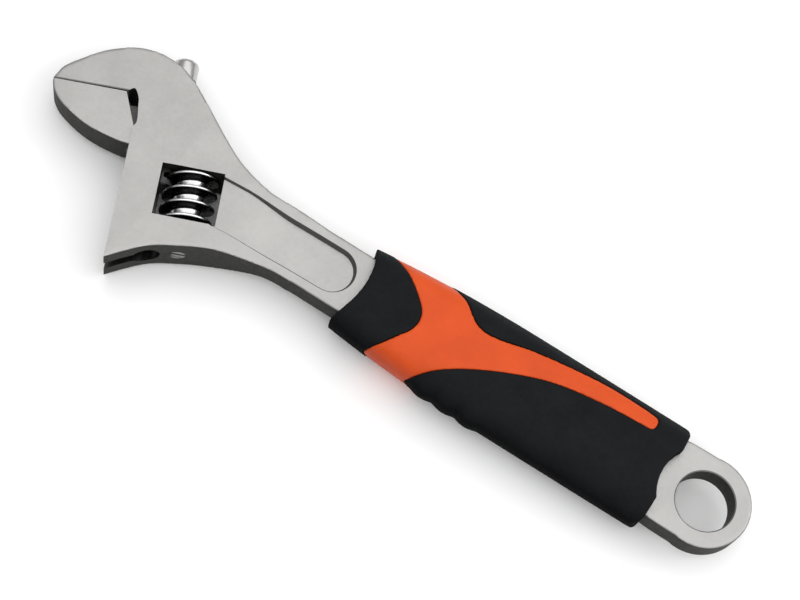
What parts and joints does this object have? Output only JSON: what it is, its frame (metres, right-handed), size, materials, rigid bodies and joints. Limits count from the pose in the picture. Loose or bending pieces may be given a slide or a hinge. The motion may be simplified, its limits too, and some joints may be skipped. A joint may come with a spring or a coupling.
{
  "type": "adjustable wrench",
  "caption": "Adjustable wrench with a sliding jaw moved by a thumb worm, a recessed shank, a two-colour moulded grip and a hang hole in the end of the handle.",
  "frame": {"origin": "centre of the hang hole, in the middle plane of the forging", "axes": "+X along the handle to the head, +Z out of the face shown, +Y to the side towards which the jaw opens"},
  "size_m": [0.25, 0.0721, 0.019],
  "materials": {
    "forged_steel": "satin nickel-chrome plate over a fine-blasted forging",
    "worm_steel": "turned and plated, brighter than the forging",
    "pin_steel": "turned, darkened",
    "spring_wire": "drawn wire",
    "orange_plastic": "hard moulded plastic, faint satin",
    "black_rubber": "soft matte overmould"
  },
  "bodies": {
    "wrench": {"wrench_body": "forged_steel", "worm_pin": "pin_steel", "worm_spring": "spring_wire", "grip_core": "orange_plastic", "grip_cover": "black_rubber", "grip_collar": "black_rubber"},
    "jaw": {"movable_jaw": "forged_steel"},
    "worm": {"adjusting_worm": "worm_steel"}
  },
  "joints": [
    {"name": "jaw_slide", "type": "slide", "parent": "wrench", "child": "jaw", "axis": [-0.3827, 0.9239, 0], "range_m": [0, 0.03]},
    {"name": "worm_spin", "type": "hinge", "parent": "wrench", "child": "worm", "pos_m": [0.1796, 0.005, 0], "axis": [-0.3827, 0.9239, 0], "range_deg": [-2298, 0]}
  ],
  "couplings": [
    {"joint": "worm_spin", "follows": "jaw_slide", "rad_per_m": -1336.8}
  ]
}
